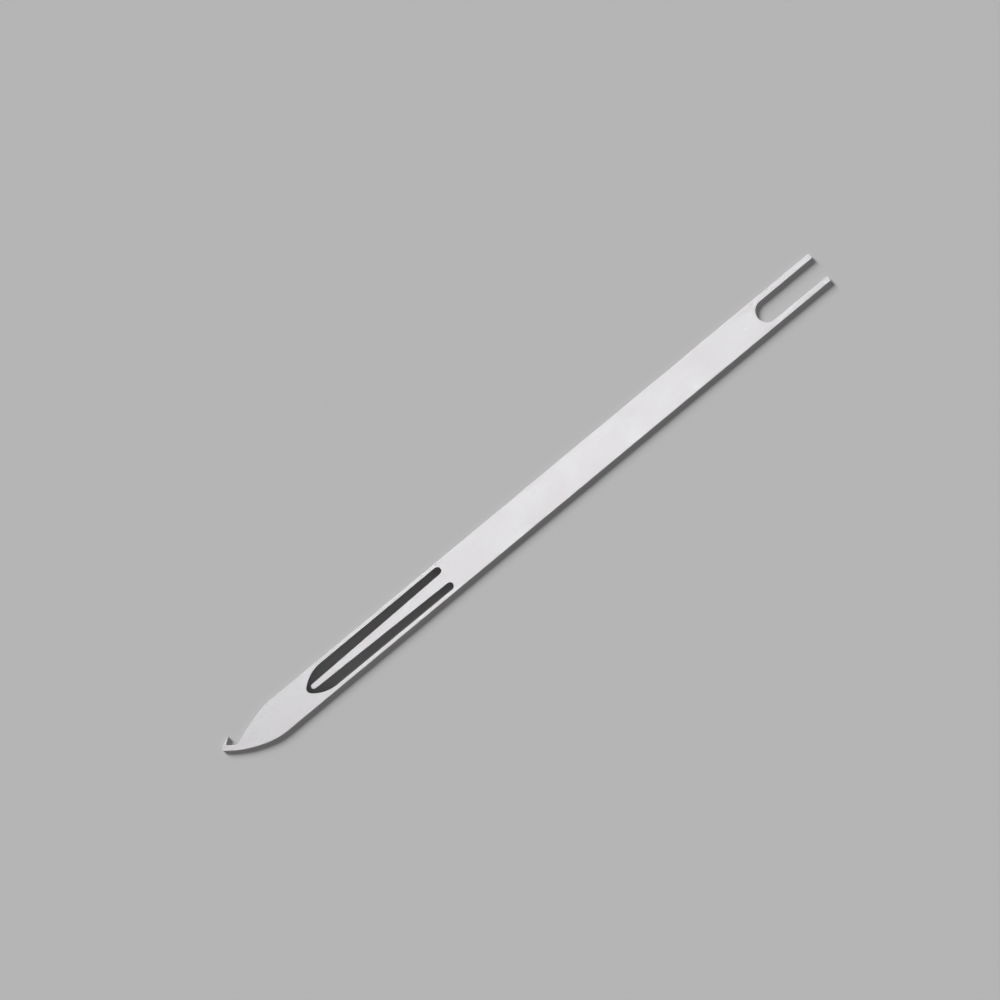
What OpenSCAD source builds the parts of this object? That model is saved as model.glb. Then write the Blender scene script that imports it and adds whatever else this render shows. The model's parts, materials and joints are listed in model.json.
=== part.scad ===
// Netting needle: one flat blank of stainless sheet steel, with a barbed hook at the nose, a pointed
// blade, an eye with a springy tongue, a plain shank and a two-pronged fork at the tail.
// Each node is a named section of that blank, and neighbours meet face to face at straight cuts.
// Only the tongue stands a hair clear of the shank, at the line where it bends out of the flat.
// The nose points along -X, the barb faces +Y, and the blank lies flat on z = 0.

/* [Sheet] */
// Overall length, from the nose to the ends of the prongs
overall_l = 175; // [150:1:200]
// Width of the strip
strip_w = 8; // [7.4:0.1:10]
// Thickness of the sheet steel
sheet_t = 0.8; // [0.5:0.05:1.2]

/* [Blade] */
// Distance from the nose at which the back's curve reaches the strip's edge
back_l = 12.8; // [11:0.1:16]
// Radius of the back's curve
back_r = 26; // [20:0.5:40]
// Distance from the nose at which the belly's curve reaches the strip's edge
belly_l = 14.5; // [12:0.1:18]
// Radius of the belly's curve
belly_r = 50; // [30:1:80]

/* [Hook] */
// Height of the nose above the middle of the strip
nose_y = 1.95; // [1.5:0.05:2.3]
// Width of the blunt nose
nose_w = 0.17; // [0.1:0.01:0.3]
// Width of the neck, between the throat and the back
neck_w = 1.3; // [1:0.05:1.6]
// Distance from the nose to the far end of the throat
throat_l = 3.55; // [3.4:0.05:4.5]
// Radius at the far end of the throat, where the neck runs into the belly
throat_r = 1.4; // [0.4:0.1:1.6]
// Distance from the nose to the root of the barb
barb_root = 1.5; // [1.2:0.05:1.8]
// Distance from the nose to the tip of the barb
barb_l = 3; // [2.6:0.05:3.3]
// How far the barb's tip lies inside the line of the strip's edge
barb_inset = 0.3; // [0.2:0.05:0.6]
// Width of the barb's blunt tip
barb_tip_w = 0.18; // [0.1:0.01:0.25]
// Radius of the barb's outer curve
barb_outer_r = 5.5; // [4.5:0.1:8]
// Radius of the barb's inner curve
barb_inner_r = 7; // [5.5:0.1:10]

/* [Eye] */
// Distance from the nose to the pointed end of the eye
eye_from = 23.5; // [20:0.05:28]
// Length of the eye, from its pointed end to the round ends of its slots
eye_l = 41.15; // [36:0.05:50]
// Width of each rail beside the eye
rail_w = 0.88; // [0.7:0.01:1.1]
// Radius of the sides of the eye's pointed arch
arch_r = 9; // [7:0.1:14]
// Radius at the point of the arch
arch_tip_r = 1.05; // [0.9:0.05:1.6]

/* [Tongue] */
// Width of the tongue at its root
tongue_root_w = 2.76; // [2.2:0.02:3.2]
// Width of the tongue at its tip
tongue_tip_w = 1.28; // [0.9:0.02:1.6]
// Gap between the tongue's tip and the point of the eye
tongue_tip_gap = 1.25; // [1:0.05:2.5]
// Clearance at the line where the tongue bends
flex_gap = 0.05; // [0.05:0.01:0.1]

/* [Fork] */
// Depth of the notch between the prongs
notch_l = 18.25; // [14:0.05:24]
// Width of each prong
prong_w = 1.35; // [1:0.05:1.7]
// Radius of the corners at the prongs' ends
prong_end_r = 0.3; // [0.2:0.05:0.45]

/* [Hidden] */

$fn = 240;
steel = "gainsboro";
// How far the strip's straight part starts past the points where the two curves reach its edges
overlap = 1;

half_w = strip_w / 2;
eye_half_w = half_w - rail_w;
slot_r = (eye_half_w - tongue_root_w / 2) / 2;
slot_y = eye_half_w - slot_r;
slot_x = eye_from + eye_l - slot_r;
notch_r = half_w - prong_w;
notch_x = overall_l - notch_l + notch_r;

// Points and centres of the tip's curves, as distances from the nose and from the middle line
nose = [0, nose_y];
back_end = [back_l, -half_w];
back_centre = meet(back_end, back_r, nose, back_r);
neck_r = back_r - neck_w;
barb_start = [0, nose_y + nose_w];
barb_tip = [barb_l, half_w - barb_inset];
barb_outer_centre = meet(barb_start, barb_outer_r, barb_tip, barb_outer_r);
throat_start = [barb_root, neck_y(barb_root)];
barb_tip_inside = barb_tip - [0, barb_tip_w];
barb_inner_centre = meet(throat_start, barb_inner_r, barb_tip_inside, barb_inner_r);
throat_end = [throat_l, neck_y(throat_l)];
belly_end = [belly_l, half_w];
belly_centre = meet(throat_end, belly_r, belly_end, belly_r);
throat_centre = meet(back_centre, neck_r - throat_r, belly_centre, belly_r + throat_r);

// The eye's arch: two side arcs that touch the rails' inner edges and a small arc at the point
arch_tip_x = eye_from + arch_tip_r;
arch_centre_y = arch_r - eye_half_w;
arch_x = arch_tip_x + sqrt(pow(arch_r - arch_tip_r, 2) - pow(arch_centre_y, 2));
arch_touch_x = on_circle([arch_tip_x, 0], -arch_tip_r, [arch_x, arch_centre_y])[0];

// The point that lies from_p away from p and from_q away from q, on the right of the way from p to q.
// With both distances the same, it is the centre of the arc of that radius from p to q.
function meet(p, from_p, q, from_q) =
    let (way = q - p,
         apart = norm(way),
         along = (apart * apart + from_p * from_p - from_q * from_q) / (2 * apart),
         aside = sqrt(from_p * from_p - along * along))
    p + (way * along + [way[1], -way[0]] * aside) / apart;

// The point of a circle that lies nearest to another point, or farthest from it if r is negative
function on_circle(centre, r, point) = centre + (point - centre) * r / norm(point - centre);

// Height of the neck's inner edge, which keeps neck_w from the back
function neck_y(x) = back_centre[1] - sqrt(pow(neck_r, 2) - pow(x - back_centre[0], 2));

module disc(centre, r) {
    translate(centre) circle(r = r);
}

// Everything between two distances from the nose, and between two heights
module band(from, to, low = -half_w, high = half_w) {
    translate([from, low]) square([to - from, high - low]);
}

// Fills the corner between the neck and the belly, on both sides of the cut between hook and blade
module throat_fillet() {
    difference() {
        polygon([on_circle(back_centre, neck_r, throat_centre), throat_centre,
                 on_circle(belly_centre, belly_r, throat_centre), throat_end - [0, neck_w / 2]]);
        disc(throat_centre, throat_r);
    }
}

module hook_outline() {
    difference() {
        intersection() {
            band(0, throat_l);
            disc(back_centre, back_r);
            disc(barb_outer_centre, barb_outer_r);
        }
        intersection() {
            disc(back_centre, neck_r);
            union() {
                disc(barb_inner_centre, barb_inner_r);
                band(barb_l, throat_l);
            }
        }
    }
    intersection() {
        band(0, throat_l);
        throat_fillet();
    }
}

module blade_outline() {
    intersection() {
        band(throat_l, arch_x);
        union() {
            disc(back_centre, back_r);
            band(back_l + overlap, arch_x);
        }
        union() {
            disc(belly_centre, belly_r);
            band(belly_l + overlap, arch_x);
            throat_fillet();
        }
    }
}

module eye_arch() {
    disc([arch_tip_x, 0], arch_tip_r);
    intersection() {
        band(arch_touch_x, slot_x);
        disc([arch_x, -arch_centre_y], arch_r);
        disc([arch_x, arch_centre_y], arch_r);
    }
}

module slot_ends() {
    for (side = [-1, 1])
        disc([slot_x, side * slot_y], slot_r);
}

module fork_notch() {
    disc([notch_x, 0], notch_r);
    band(notch_x, overall_l, -notch_r, notch_r);
}

// One prong, with rounded corners at its free end
module prong_outline() {
    low = half_w - prong_w;
    end = overall_l - prong_end_r;
    band(notch_x, end, low, half_w);
    band(notch_x, overall_l, low + prong_end_r, half_w - prong_end_r);
    for (y = [low + prong_end_r, half_w - prong_end_r])
        disc([end, y], prong_end_r);
}

module tongue_outline() {
    tip_r = tongue_tip_w / 2;
    tip_x = eye_from + tongue_tip_gap + tip_r;
    root_x = slot_x - flex_gap;
    disc([tip_x, 0], tip_r);
    polygon([[tip_x, -tip_r], [root_x, -tongue_root_w / 2],
             [root_x, tongue_root_w / 2], [tip_x, tip_r]]);
}

// Gives an outline the sheet's thickness and moves it from the nose's frame to the part's
module sheet() {
    color(steel)
    translate([-overall_l / 2, 0, 0])
    linear_extrude(sheet_t)
    children();
}

module hook() {
    sheet() hook_outline();
}

module blade() {
    sheet()
    difference() {
        blade_outline();
        eye_arch();
    }
}

module rail(side) {
    sheet()
    scale([1, side])
    band(arch_x, slot_x, eye_half_w, half_w);
}

module tongue() {
    sheet() tongue_outline();
}

module shank() {
    sheet()
    difference() {
        band(slot_x, notch_x);
        slot_ends();
        fork_notch();
    }
}

module prong(side) {
    sheet()
    scale([1, side])
    prong_outline();
}

hook();
blade();
rail(1);  // barb_side_rail
rail(-1);  // back_side_rail
tongue();
shank();
prong(1);  // barb_side_prong
prong(-1);  // back_side_prong
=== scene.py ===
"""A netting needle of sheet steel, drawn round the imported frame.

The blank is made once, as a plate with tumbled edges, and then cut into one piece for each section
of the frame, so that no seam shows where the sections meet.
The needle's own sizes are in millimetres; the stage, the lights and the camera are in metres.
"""
import json
import math

import bmesh
import bpy
import numpy as np
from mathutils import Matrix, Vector


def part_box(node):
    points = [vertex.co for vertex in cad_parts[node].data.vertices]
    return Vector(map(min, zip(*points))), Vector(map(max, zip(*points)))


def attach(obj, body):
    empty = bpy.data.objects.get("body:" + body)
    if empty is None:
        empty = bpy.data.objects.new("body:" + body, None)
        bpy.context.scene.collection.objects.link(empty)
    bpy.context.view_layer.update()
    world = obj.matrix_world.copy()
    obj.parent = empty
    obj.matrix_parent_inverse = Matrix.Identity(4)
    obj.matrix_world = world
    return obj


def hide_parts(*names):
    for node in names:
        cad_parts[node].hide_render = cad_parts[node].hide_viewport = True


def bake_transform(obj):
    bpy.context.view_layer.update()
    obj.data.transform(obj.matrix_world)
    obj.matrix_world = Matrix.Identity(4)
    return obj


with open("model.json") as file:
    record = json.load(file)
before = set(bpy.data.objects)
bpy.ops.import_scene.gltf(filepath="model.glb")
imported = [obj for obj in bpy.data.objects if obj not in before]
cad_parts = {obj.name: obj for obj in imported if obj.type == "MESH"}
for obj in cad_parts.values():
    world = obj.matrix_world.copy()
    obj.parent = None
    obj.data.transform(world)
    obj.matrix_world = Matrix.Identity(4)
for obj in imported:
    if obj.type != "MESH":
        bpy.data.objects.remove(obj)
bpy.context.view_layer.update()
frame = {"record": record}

MM = 0.001


def corners(node):
    """Lowest and highest corner of a node of the frame, in millimetres."""
    low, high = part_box(node)
    return np.array(low) / MM, np.array(high) / MM


# Places and widths that the frame gives
(NOSE_X, _, _), (THROAT_X, BARB_TIP_Y, _) = corners("hook")
ARCH_X = corners("blade")[1][0]
(SLOT_X, _, _), (NOTCH_X, HALF_W, THICK) = corners("shank")
EYE_HALF_W = corners("barb_side_rail")[0][1]
NOTCH_R = corners("barb_side_prong")[0][1]
END_X = corners("barb_side_prong")[1][0]
TONGUE_X = corners("tongue")[0][0]
TONGUE_ROOT_HALF_W = corners("tongue")[1][1]

# Curves of the tip, as distances from the nose and from the middle line
BACK_L, BACK_R = 12.8, 26.0
BELLY_L, BELLY_R = 14.5, 50.0
NOSE_Y, NOSE_W = 1.95, 0.17
NECK_W, THROAT_R = 1.3, 1.4
BARB_ROOT, BARB_L, BARB_TIP_W = 1.5, 3.0, 0.18
BARB_OUTER_R, BARB_INNER_R = 5.5, 7.0

# The eye's arch, the tongue's tip and the corners of the prongs
EYE_FROM, ARCH_R, ARCH_TIP_R = 23.5, 9.0, 1.05
TONGUE_TIP_R = 0.64
PRONG_CORNER = 0.3

# How far each corner of the outline is worn round on either side
EASE_CURVE, EASE_NOSE, EASE_BARB_TIP, EASE_BARB_ROOT = 1.6, 0.08, 0.08, 0.13

# Radii of the tumbled edges, which are finer on the barb, and the set-back of the torn lower wall
UPPER_EDGE_R, LOWER_EDGE_R = 0.07, 0.05
FINE_WITHIN, FINEST = 1.6, 0.3
TEAR_Z, TEAR_STEP, TEAR_INSET = 0.4, 0.04, 0.012

# Spacing of the mesh's points
ARC_TURN, ARC_STEP, LINE_STEP, EASE_STEPS, EDGE_STEPS = math.radians(5), 0.35, 0.9, 6, 5
TONGUE_STEP = 1.0
SLIVER = 0.002


def meet(p, from_p, q, from_q):
    """The point from_p away from p and from_q away from q, on the right of the way from p to q."""
    way = q - p
    apart = math.hypot(*way)
    along = (apart**2 + from_p**2 - from_q**2) / (2 * apart)
    aside = math.sqrt(from_p**2 - along**2)
    return p + (way * along + np.array([way[1], -way[0]]) * aside) / apart


def on_circle(centre, r, towards):
    """The point of a circle that lies in the direction of another point."""
    way = towards - centre
    return centre + way * r / math.hypot(*way)


def with_normals(points, directions):
    """Points of an outline, each with the normal on the right of its direction: x, y, nx, ny."""
    unit = directions / np.linalg.norm(directions, axis=1)[:, None]
    return np.column_stack([points, unit[:, 1], -unit[:, 0]])


def line(start, end):
    count = max(1, round(math.dist(start, end) / LINE_STEP))
    points = np.linspace(start, end, count + 1)
    return with_normals(points, np.tile(np.subtract(end, start), (count + 1, 1)))


def arc(centre, start, end, turn):
    """A stretch of a circle, anticlockwise if turn is 1 and clockwise if it is -1."""
    r = math.dist(centre, start)
    first = math.atan2(start[1] - centre[1], start[0] - centre[0])
    last = math.atan2(end[1] - centre[1], end[0] - centre[0])
    sweep = (turn * (last - first)) % math.tau
    count = math.ceil(max(sweep / ARC_TURN, sweep * r / ARC_STEP))
    angles = first + turn * sweep * np.linspace(0, 1, count + 1)
    spoke = np.column_stack([np.cos(angles), np.sin(angles)])
    return with_normals(centre + r * spoke, turn * np.column_stack([-spoke[:, 1], spoke[:, 0]]))


def shortened(stretch, off_start, off_end):
    """A stretch with a length cut off at each end."""
    steps = np.linalg.norm(np.diff(stretch[:, :2], axis=0), axis=1)
    far = np.concatenate([[0], np.cumsum(steps)])
    low, high = off_start, far[-1] - off_end
    first, last = (np.array([np.interp(x, far, column) for column in stretch.T]) for x in (low, high))
    return np.vstack([first, stretch[(far > low) & (far < high)], last])


def rounded_corner(start, corner, end):
    """A curve that leaves and meets its neighbours smoothly, without its last point."""
    t = np.linspace(0, 1, EASE_STEPS + 1)[:-1, None]
    points = (1 - t) ** 2 * start + 2 * t * (1 - t) * corner + t**2 * end
    return with_normals(points, (1 - t) * (corner - start) + t * (end - corner))


def closed_ring(*stretches):
    """One ring from (stretch, ease) pairs, where ease is how far the corner after it is worn round."""
    eases = [ease for _, ease in stretches]
    cut = [shortened(stretch, eases[i - 1], ease) for i, (stretch, ease) in enumerate(stretches)]
    ring = []
    for i, (stretch, ease) in enumerate(stretches):
        ring.append(cut[i][:-1])
        if ease:
            following = cut[(i + 1) % len(cut)]
            ring.append(rounded_corner(cut[i][-1, :2], stretch[-1, :2], following[0, :2]))
    return np.vstack(ring)


def at(x, y):
    return np.array([x, y])


def outer_ring():
    """The blank's outer edge, anticlockwise from the nose, with the steel on the left."""
    nose, back_end = at(NOSE_X, NOSE_Y), at(NOSE_X + BACK_L, -HALF_W)
    back = meet(back_end, BACK_R, nose, BACK_R)
    neck_r = BACK_R - NECK_W

    def neck(x):
        return at(x, back[1] - math.sqrt(neck_r**2 - (x - back[0]) ** 2))

    barb_start, barb_root = at(NOSE_X, NOSE_Y + NOSE_W), neck(NOSE_X + BARB_ROOT)
    barb_tip = at(NOSE_X + BARB_L, BARB_TIP_Y)
    barb_inside = barb_tip - at(0, BARB_TIP_W)
    barb_outer = meet(barb_start, BARB_OUTER_R, barb_tip, BARB_OUTER_R)
    barb_inner = meet(barb_root, BARB_INNER_R, barb_inside, BARB_INNER_R)
    belly_end = at(NOSE_X + BELLY_L, HALF_W)
    belly = meet(neck(THROAT_X), BELLY_R, belly_end, BELLY_R)
    throat = meet(back, neck_r - THROAT_R, belly, BELLY_R + THROAT_R)
    belly_touch, neck_touch = on_circle(belly, BELLY_R, throat), on_circle(back, neck_r, throat)
    notch = at(NOTCH_X, 0)
    notch_low, notch_high = at(NOTCH_X, -NOTCH_R), at(NOTCH_X, NOTCH_R)
    return closed_ring(
        (arc(back, nose, back_end, 1), EASE_CURVE),
        (line(back_end, at(END_X, -HALF_W)), PRONG_CORNER),
        (line(at(END_X, -HALF_W), at(END_X, -NOTCH_R)), PRONG_CORNER),
        (line(at(END_X, -NOTCH_R), notch_low), 0),
        (arc(notch, notch_low, notch_high, -1), 0),
        (line(notch_high, at(END_X, NOTCH_R)), PRONG_CORNER),
        (line(at(END_X, NOTCH_R), at(END_X, HALF_W)), PRONG_CORNER),
        (line(at(END_X, HALF_W), belly_end), EASE_CURVE),
        (arc(belly, belly_end, belly_touch, 1), 0),
        (arc(throat, belly_touch, neck_touch, -1), 0),
        (arc(back, neck_touch, barb_root, -1), EASE_BARB_ROOT),
        (arc(barb_inner, barb_root, barb_inside, -1), EASE_BARB_TIP),
        (line(barb_inside, barb_tip), EASE_BARB_TIP),
        (arc(barb_outer, barb_tip, barb_start, 1), EASE_NOSE),
        (line(barb_start, nose), EASE_NOSE),
    )


def eye_ring():
    """The eye's edge round the tongue, clockwise, which has the steel on the left here too."""
    flip = at(1, -1)
    tip = at(NOSE_X + EYE_FROM + ARCH_TIP_R, 0)
    side = at(ARCH_X, ARCH_R - EYE_HALF_W)
    touch = on_circle(side, ARCH_R, tip)
    rail_start, rail_end = at(ARCH_X, EYE_HALF_W), at(SLOT_X, EYE_HALF_W)
    root = at(SLOT_X, TONGUE_ROOT_HALF_W)
    slot = (rail_end + root) / 2
    tongue_tip = at(TONGUE_X + TONGUE_TIP_R, 0)
    tongue_side = tongue_tip + at(0, TONGUE_TIP_R)
    return closed_ring(
        (line(rail_end * flip, rail_start * flip), 0),
        (arc(side, rail_start * flip, touch, -1), 0),
        (arc(tip, touch, touch * flip, -1), 0),
        (arc(side * flip, touch * flip, rail_start, -1), 0),
        (line(rail_start, rail_end), 0),
        (arc(slot, rail_end, root, -1), 0),
        (line(root, tongue_side), 0),
        (arc(tongue_tip, tongue_side, tongue_side * flip, 1), 0),
        (line(tongue_side * flip, root * flip), 0),
        (arc(slot * flip, root * flip, rail_end * flip, -1), 0),
    )


def edge_rows(fineness):
    """Inset, height and tilt of the rows of an edge, from the upper face down to the lower one."""
    quarter = np.linspace(math.pi / 2, 0, EDGE_STEPS + 1)
    upper, lower, torn = UPPER_EDGE_R * fineness, LOWER_EDGE_R * fineness, TEAR_INSET * fineness
    level = np.zeros_like(fineness)
    for tilt in quarter:
        yield upper * (1 - math.cos(tilt)), THICK - upper * (1 - math.sin(tilt)), tilt
    yield level, level + TEAR_Z, 0
    yield torn, level + TEAR_Z - TEAR_STEP, 0
    for tilt in quarter[::-1]:
        yield torn + lower * (1 - math.cos(tilt)), lower * (1 - math.sin(tilt)), -tilt


def blank():
    """The whole blank as one closed mesh, whose vertices hold the normals to shade it with."""
    bm = bmesh.new()
    shading = bm.verts.layers.float_vector.new("shading")
    faces = {1: [], -1: []}
    for ring in (outer_ring(), eye_ring()):
        place, outward = ring[:, :2], ring[:, 2:]
        reach = np.linalg.norm(place - at(NOSE_X + BARB_L, BARB_TIP_Y), axis=1)
        rows = []
        for inset, height, tilt in edge_rows(np.clip(reach / FINE_WITHIN, FINEST, 1)):
            points = np.column_stack([place - outward * inset[:, None], height]) * MM
            rows.append([bm.verts.new(point) for point in points])
            for vert, (x, y) in zip(rows[-1], outward * math.cos(tilt)):
                vert[shading] = (x, y, math.sin(tilt))
        for upper, lower in zip(rows, rows[1:]):
            for i in range(len(upper)):
                bm.faces.new((lower[i - 1], lower[i], upper[i], upper[i - 1]))
        for up, row in ((1, rows[0]), (-1, rows[-1])):
            faces[up] += [bm.edges.get((row[i - 1], row[i])) for i in range(len(row))]
    for up, edges in faces.items():
        bmesh.ops.triangle_fill(bm, use_beauty=True, edges=edges, normal=(0, 0, up))
    bmesh.ops.recalc_face_normals(bm, faces=bm.faces)
    return bm


def cut(bm, x):
    everything = bm.verts[:] + bm.edges[:] + bm.faces[:]
    bmesh.ops.bisect_plane(bm, geom=everything, dist=SLIVER * MM, plane_co=(x * MM, 0, 0),
                           plane_no=(1, 0, 0))


def section_at(x, y):
    """The node of the frame that a point of the blank belongs to."""
    side = "barb_side" if y > 0 else "back_side"
    if x < THROAT_X:
        return "hook"
    slot_middle = (EYE_HALF_W + TONGUE_ROOT_HALF_W) / 2
    taper = (slot_middle - ARCH_TIP_R) * (SLOT_X - x) / (SLOT_X - TONGUE_X)
    if TONGUE_X <= x < SLOT_X and abs(y) < slot_middle - taper:
        return "tongue"
    if x < ARCH_X:
        return "blade"
    if x < SLOT_X:
        return side + "_rail"
    return "shank" if x < NOTCH_X else side + "_prong"


def section(whole, node):
    """A closed mesh of the part of the blank that belongs to one node."""
    bm = whole.copy()
    others = [f for f in bm.faces if section_at(*(f.calc_center_median() / MM)[:2]) != node]
    bmesh.ops.delete(bm, geom=others, context="FACES")
    for face in bm.faces:
        face.smooth = True
    if node == "tongue":
        for x in np.arange(TONGUE_X, SLOT_X, TONGUE_STEP)[1:]:
            cut(bm, x)
    open_edges = [e for e in bm.edges if e.is_boundary]
    caps = bmesh.ops.holes_fill(bm, edges=open_edges)["faces"]
    for face in caps:
        face.smooth = False
    bmesh.ops.recalc_face_normals(bm, faces=bm.faces)
    return bm


def piece(whole, node, material):
    """One visible piece, in place of its node."""
    bm = section(whole, node)
    mesh = bpy.data.meshes.new(node)
    bm.to_mesh(mesh)
    bm.free()
    shading = [v.vector.normalized() for v in mesh.attributes["shading"].data]
    normals = [shading[v] if face.use_smooth else face.normal
               for face in mesh.polygons for v in face.vertices]
    mesh.normals_split_custom_set(normals)
    mesh.attributes.remove(mesh.attributes["shading"])
    rest = mesh.attributes.new("rest", "FLOAT_VECTOR", "POINT")
    rest.data.foreach_set("vector", [c / MM for v in mesh.vertices for c in v.co])
    mesh.materials.append(material)
    made = bpy.data.objects.new("steel_" + node, mesh)
    bpy.context.scene.collection.objects.link(made)
    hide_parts(node)
    return made


class Nodes:
    """Short calls that add nodes to an empty tree. A value may be a number, a colour or another socket."""

    def __init__(self, tree):
        self.tree = tree
        tree.nodes.clear()

    def add(self, kind, inputs, **settings):
        node = self.tree.nodes.new("ShaderNode" + kind)
        for name, value in settings.items():
            setattr(node, name, value)
        for name, value in inputs.items():
            if isinstance(value, bpy.types.NodeSocket):
                self.tree.links.new(value, node.inputs[name])
            else:
                node.inputs[name].default_value = value
        return node

    def math(self, operation, first, second=0.0):
        return self.add("Math", {0: first, 1: second}, operation=operation).outputs[0]

    def total(self, *shares):
        """The sum of value times weight."""
        whole = 0.0
        for value, weight in shares:
            whole = self.add("Math", {0: value, 1: weight, 2: whole}, operation="MULTIPLY_ADD").outputs[0]
        return whole

    def ramp(self, value, low, high):
        """0 where a value is low and 1 where it is high, with a soft step between."""
        ends = {"Value": value, "From Min": low, "From Max": high}
        return self.add("MapRange", ends, interpolation_type="SMOOTHSTEP").outputs["Result"]

    def stretched(self, place, scale, turn=0.0, shift=0.0):
        """A place with its axes scaled after a turn about Z, so that a noise there makes streaks."""
        turned = self.add("Mapping", {"Vector": place, "Rotation": (0, 0, turn)})
        moved = {"Vector": turned.outputs[0], "Scale": scale, "Location": (shift, 0, 0)}
        return self.add("Mapping", moved).outputs[0]

    def grey(self, shade):
        return self.add("CombineColor", dict.fromkeys(("Red", "Green", "Blue"), shade)).outputs[0]

    def noise(self, place, scale=1.0, detail=3.0, roughness=0.55):
        set_to = {"Vector": place, "Scale": scale, "Detail": detail, "Roughness": roughness}
        return self.add("TexNoise", set_to).outputs["Fac"]


# Cells per millimetre of the steel's marks, as one number or along, across and through the sheet
CLOUD_SCALE, MOTTLE_SCALE, CRUMB_SCALE, DENT_SCALE = 0.16, 1.3, 14.0, 1.1
GRAIN_SCALE, SCORE_SCALE, HAIRLINE_SCALE = (0.07, 6, 6), (9, 9, 0.5), (0.3, 19, 1)

# Hairlines: their slants in degrees, how far apart in the noise these are taken, and what makes a line
HAIRLINE_SLANTS, HAIRLINE_SHIFT, HAIRLINE_EDGE, HAIRLINE_CORE = (4, -9, 31), 40, 0.68, 0.74

# Dents: the share of the cells that has none, and their edge and bottom as shares of a cell
DENT_FREE, DENT_EDGE, DENT_BOTTOM = 0.55, 0.09, 0.03

# How far up a surface faces where the flat begins and is full, and where a wall begins and is full
FLAT_FROM, FLAT_FULL, WALL_FROM, WALL_FULL = 0.9, 0.99, 0.3, 0.05

# The torn part of a wall: the heights at which it begins and is full, and how much the mottle shifts them
TORN_FROM, TORN_FULL, TORN_SHIFT = 0.46, 0.4, 0.12

# Plain steel, and what each mark adds where it is full, to the shade, the roughness and the relief
# The dents' darker share of the shade is painted shade in them; their dip itself is in the relief
SHADE = {"clouds": 0.07, "mottle": 0.03, "grain": 0.05, "flat": -0.03, "torn": -0.1, "hairlines": 0.02,
         "dents": -0.12, "plain": 0.745}
ROUGHNESS = {"clouds": 0.06, "mottle": 0.05, "grain": 0.1, "flat": 0.09, "torn": 0.22, "hairlines": -0.04,
             "dents": 0.1, "plain": 0.13}
RELIEF = {"flat grain": 0.5, "wall scores": 0.8, "mottle": 0.25, "crumbs": 2.2, "hairlines": -0.35,
          "dents": -1.6}
RELIEF_HEIGHT = 3e-6

# The two tints that the clouds turn between, and the cloud values at which each is full
COOL, PINKISH = (0.98, 0.975, 1.0, 1), (1.0, 0.965, 0.99, 1)
COOL_UNTIL, PINKISH_FROM = 0.3, 0.7


def scratches(nodes, place):
    """Sparse hairlines that cross the needle at a few slants."""
    lines = 0.0
    for i, degrees in enumerate(HAIRLINE_SLANTS):
        streaks = nodes.stretched(place, HAIRLINE_SCALE, math.radians(degrees), HAIRLINE_SHIFT * i)
        line = nodes.ramp(nodes.noise(streaks, detail=1.0), HAIRLINE_EDGE, HAIRLINE_CORE)
        lines = nodes.math("MAXIMUM", lines, line)
    return lines


def pits(nodes, place):
    """Tiny dents that tumbling leaves, in some of the cells of a grid."""
    cells = nodes.add("TexVoronoi", {"Vector": place, "Scale": DENT_SCALE})
    chosen = nodes.math("GREATER_THAN", cells.outputs["Color"], DENT_FREE)
    near = nodes.ramp(cells.outputs["Distance"], DENT_EDGE, DENT_BOTTOM)
    return nodes.math("MULTIPLY", near, chosen)


def marks(nodes):
    """How strongly each mark of the steel shows at a place, by name, with 1 for plain steel."""
    place = nodes.add("Attribute", {}, attribute_name="rest").outputs["Vector"]
    height = nodes.add("SeparateXYZ", {"Vector": place}).outputs["Z"]
    normal = nodes.add("NewGeometry", {}).outputs["Normal"]
    facing = nodes.math("ABSOLUTE", nodes.add("SeparateXYZ", {"Vector": normal}).outputs["Z"])
    flat = nodes.ramp(facing, FLAT_FROM, FLAT_FULL)
    wall = nodes.ramp(facing, WALL_FROM, WALL_FULL)
    clouds = nodes.noise(place, CLOUD_SCALE, detail=3.0)
    mottle = nodes.noise(place, MOTTLE_SCALE, detail=4.0, roughness=0.65)
    grain = nodes.noise(nodes.stretched(place, GRAIN_SCALE), detail=5.0, roughness=0.7)
    scores = nodes.noise(nodes.stretched(place, SCORE_SCALE), detail=4.0, roughness=0.6)
    lower = nodes.ramp(nodes.total((mottle, TORN_SHIFT), (height, 1.0)), TORN_FROM, TORN_FULL)
    torn = nodes.math("MULTIPLY", wall, lower)
    return {
        "plain": 1.0, "flat": flat, "torn": torn, "clouds": clouds, "mottle": mottle, "grain": grain,
        "crumbs": nodes.math("MULTIPLY", nodes.noise(place, CRUMB_SCALE, detail=3.0, roughness=0.7), torn),
        "hairlines": nodes.math("MULTIPLY", scratches(nodes, place), flat),
        # The dents also take painted shade, a darker colour where they dip
        "dents": nodes.math("MULTIPLY", pits(nodes, place), flat),
        "flat grain": nodes.math("MULTIPLY", grain, flat),
        "wall scores": nodes.math("MULTIPLY", scores, wall),
    }


def steel():
    """Stainless sheet with a fine grain along the needle, bright tumbled edges and punched walls."""
    material = bpy.data.materials.new("stainless_sheet")
    material.use_nodes = True
    nodes = Nodes(material.node_tree)
    shown = marks(nodes)
    shade, roughness, relief = (nodes.total(*((shown[name], share) for name, share in shares.items()))
                                for shares in (SHADE, ROUGHNESS, RELIEF))
    warmth = nodes.ramp(shown["clouds"], COOL_UNTIL, PINKISH_FROM)
    tint = nodes.add("Mix", {"Factor": warmth, "A": COOL, "B": PINKISH}, data_type="RGBA")
    colour = nodes.add("Mix", {"Factor": 1.0, "A": nodes.grey(shade), "B": tint.outputs["Result"]},
                       data_type="RGBA", blend_type="MULTIPLY")
    bump = nodes.add("Bump", {"Height": relief, "Strength": 1.0, "Distance": RELIEF_HEIGHT})
    shader = nodes.add("BsdfPrincipled", {"Base Color": colour.outputs["Result"], "Metallic": 1.0,
                                          "Roughness": roughness, "Normal": bump.outputs["Normal"]})
    nodes.add("OutputMaterial", {"Surface": shader.outputs["BSDF"]})
    return material


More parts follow.
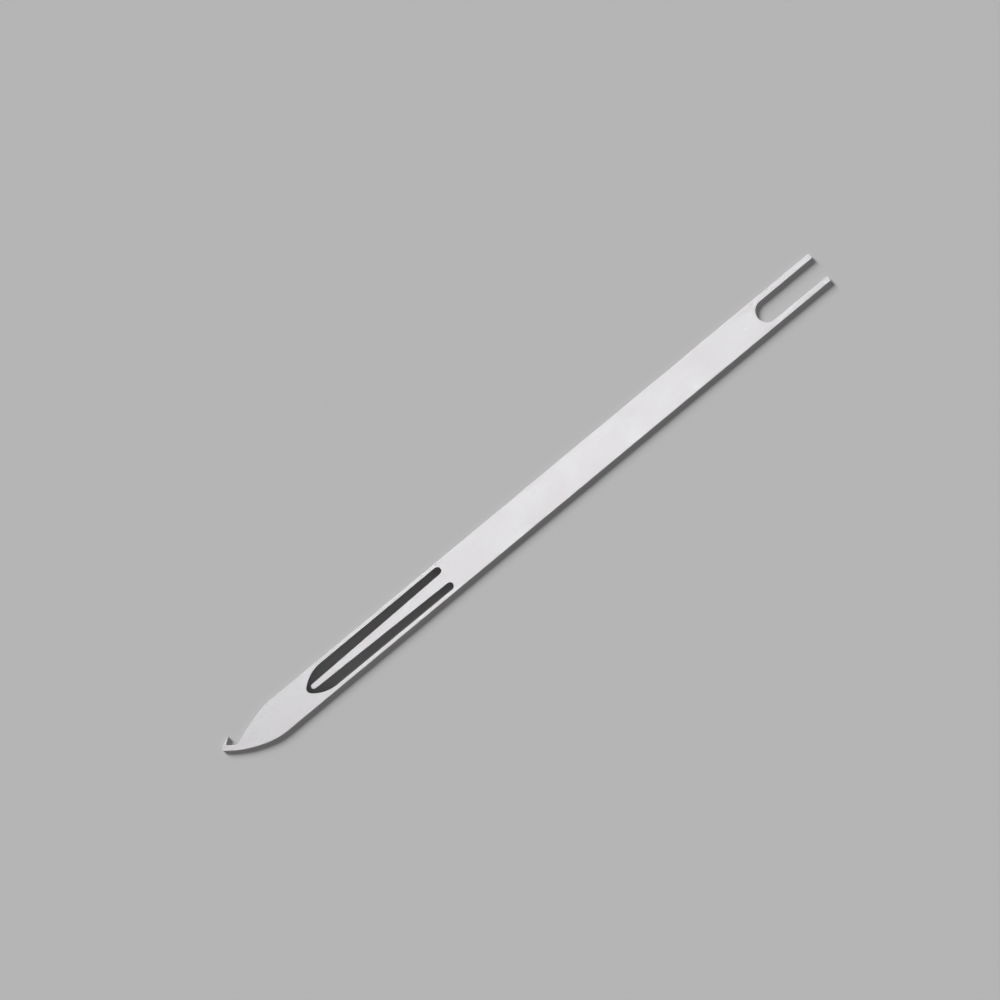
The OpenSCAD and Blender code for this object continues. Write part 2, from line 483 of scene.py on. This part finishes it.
def needle():
    """Every section of the blank, each in place of its node, with the tongue's piece left unattached."""
    whole = blank()
    for x in (THROAT_X, ARCH_X, SLOT_X, NOTCH_X):
        cut(whole, x)
    material = steel()
    for body, members in frame["record"]["behaviour"]["bodies"].items():
        for node in members:
            made = piece(whole, node, material)
            if body == "tongue":
                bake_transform(made)
            else:
                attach(made, body)
    whole.free()


# The stage, in metres
FLOOR_COLOUR = 0.46
FLOOR_Z = -0.00002
FLOOR_REACH = (0.15, 1.0, 6.0, 30.0)

# The hollow in the floor under the eye, in millimetres: its depth, which is more than the tongue's tip
# reaches, how far its edge lies past both ends of the tongue and inside the edge of the strip, and the
# width of its slopes
HOLLOW_DEPTH, HOLLOW_PAST_END, HOLLOW_IN_EDGE = 3.0, 4.0, 0.2
HOLLOW_END_SLOPE, HOLLOW_SIDE_SLOPE = 2.6, 0.6

# The painted shade on its slopes, a darker grey that stands in for shade where the key light would glare,
# and how far up a surface faces where this painted shade begins and is full
SLOPE_PAINTED_SHADE, PAINTED_SHADE_FROM, PAINTED_SHADE_FULL = 0.1, 0.95, 0.6

# The spacing of the floor's points along and across the hollow, and how far these go on round it
HOLLOW_STEP_X, HOLLOW_STEP_Y, HOLLOW_MARGIN = 0.45, 0.15, 1.0

# Light of the room on the floor, and what it looks like at each height, as the sine of the elevation
AMBIENT = 0.2
ROOM = ((0.0, FLOOR_COLOUR), (0.12, 0.55), (0.25, 0.75), (0.4, 0.86), (0.75, 0.82), (0.9, 0.52),
        (1.0, 0.25))


def soft_step(t):
    """0 up to t = 0 and 1 from t = 1 on, with a smooth rise between."""
    t = np.clip(t, 0, 1)
    return t * t * (3 - 2 * t)


def hollow(x, y):
    """Depth of the hollow that gives the tongue room to bend down, whose edges the steel round it hides."""
    end = soft_step((min(x - TONGUE_X, SLOT_X - x) + HOLLOW_PAST_END) / HOLLOW_END_SLOPE)
    side = soft_step((HALF_W - HOLLOW_IN_EDGE - abs(y)) / HOLLOW_SIDE_SLOPE)
    return HOLLOW_DEPTH * end * side


def floor_paint():
    """A matt pale grey, with painted shade that colours the hollow's slopes darker."""
    material = bpy.data.materials.new("pale_floor")
    material.use_nodes = True
    nodes = Nodes(material.node_tree)
    normal = nodes.add("NewGeometry", {}).outputs["Normal"]
    facing = nodes.add("SeparateXYZ", {"Vector": normal}).outputs["Z"]
    # Painted shade: the hollow's steep slopes are coloured darker than the floor
    painted_slope_shade = nodes.ramp(facing, PAINTED_SHADE_FROM, PAINTED_SHADE_FULL)
    shade = nodes.total((painted_slope_shade, SLOPE_PAINTED_SHADE - FLOOR_COLOUR), (1.0, FLOOR_COLOUR))
    paint = nodes.add("BsdfDiffuse", {"Color": nodes.grey(shade)})
    nodes.add("OutputMaterial", {"Surface": paint.outputs["BSDF"]})
    return material


def floor():
    """A plain floor that the needle lies flat on, with a hollow under the eye whose slopes have painted
    shade.
    """
    far = [d / MM for d in FLOOR_REACH]
    beyond = [-d for d in far[::-1]]
    past_end = HOLLOW_PAST_END + HOLLOW_MARGIN
    along = np.arange(TONGUE_X - past_end, SLOT_X + past_end, HOLLOW_STEP_X)
    across = np.arange(-HALF_W - HOLLOW_MARGIN, HALF_W + HOLLOW_MARGIN, HOLLOW_STEP_Y)
    xs, ys = (np.concatenate([beyond, near, far]) for near in (along, across))
    points = [(x * MM, y * MM, FLOOR_Z - hollow(x, y) * MM) for x in xs for y in ys]
    corner = [i * len(ys) + j for i in range(len(xs) - 1) for j in range(len(ys) - 1)]
    mesh = bpy.data.meshes.new("floor")
    mesh.from_pydata(points, [], [(i, i + len(ys), i + len(ys) + 1, i + 1) for i in corner])
    mesh.shade_smooth()
    mesh.materials.append(floor_paint())
    plane = bpy.data.objects.new("floor", mesh)
    bpy.context.scene.collection.objects.link(plane)


def surroundings():
    """A pale backdrop and a room with bright walls, which sends only a dim, even light to the floor."""
    world = bpy.data.worlds.new("studio")
    bpy.context.scene.world = world
    world.use_nodes = True
    nodes = Nodes(world.node_tree)
    rays = nodes.add("LightPath", {})
    seen = nodes.math("MAXIMUM", rays.outputs["Is Camera Ray"], rays.outputs["Is Glossy Ray"])
    way = nodes.add("TexCoord", {}).outputs["Generated"]
    height = nodes.add("SeparateXYZ", {"Vector": way}).outputs["Z"]
    room = nodes.add("ValToRGB", {"Fac": height})
    stops = room.color_ramp.elements
    while len(stops) < len(ROOM):
        stops.new(1.0)
    for stop, (position, grey) in zip(stops, ROOM):
        stop.position = position
        stop.color = (grey, grey, grey, 1)
    dim = (AMBIENT,) * 3 + (1,)
    colour = nodes.add("Mix", {"Factor": seen, "A": dim, "B": room.outputs["Color"]}, data_type="RGBA")
    light = nodes.add("Background", {"Color": colour.outputs["Result"], "Strength": 1.0})
    nodes.add("OutputWorld", {"Surface": light.outputs["Background"]})


def lamp(name, azimuth, elevation, width, radiance, on_floor=True, on_steel=True):
    """A far round soft light, width degrees across. Azimuth 0 is on the -Y side and 90 on the +X side."""
    light = bpy.data.lights.new(name, "SUN")
    light.angle = math.radians(width)
    light.energy = radiance * math.pi * math.sin(light.angle / 2) ** 2
    made = bpy.data.objects.new(name, light)
    a, e = math.radians(azimuth), math.radians(elevation)
    way = Vector((math.sin(a) * math.cos(e), -math.cos(a) * math.cos(e), math.sin(e)))
    made.location = way
    made.rotation_euler = way.to_track_quat("Z", "Y").to_euler()
    made.visible_camera = False
    made.visible_diffuse = on_floor
    made.visible_glossy = on_steel
    bpy.context.scene.collection.objects.link(made)


def lights():
    """One soft key from the barb's side, which the steel mirrors as a dimmer panel, and two fills."""
    lamp("key", azimuth=188, elevation=23, width=22, radiance=54, on_steel=False)
    lamp("key_panel", azimuth=188, elevation=29, width=38, radiance=0.25, on_floor=False)
    lamp("back_panel", azimuth=8, elevation=32, width=28, radiance=0.2, on_floor=False)
    lamp("overhead", azimuth=90, elevation=88.8, width=8, radiance=6.2)


# The camera's lens and sensor in millimetres, the width and middle of what it sees at the needle's upper
# face in metres, and the needle's slant in the frame in degrees
LENS, SENSOR = 150.0, 36.0
VIEW_W, VIEW_MIDDLE, SLANT = 0.22766, (-0.002418, 0.005576), 39.67


def camera():
    """Straight down on the needle, which lies at its slant in a frame of 1000 by 1000 pixels."""
    data = bpy.data.cameras.new("camera")
    data.lens, data.sensor_width = LENS, SENSOR
    made = bpy.data.objects.new("camera", data)
    away = VIEW_W * LENS / SENSOR + THICK * MM
    made.location = (VIEW_MIDDLE[0], VIEW_MIDDLE[1], away)
    made.rotation_euler = (0, 0, -math.radians(SLANT))
    bpy.context.scene.collection.objects.link(made)
    bpy.context.scene.camera = made


needle()
floor()
surroundings()
lights()
camera()
bpy.context.scene.view_settings.view_transform = "Standard"
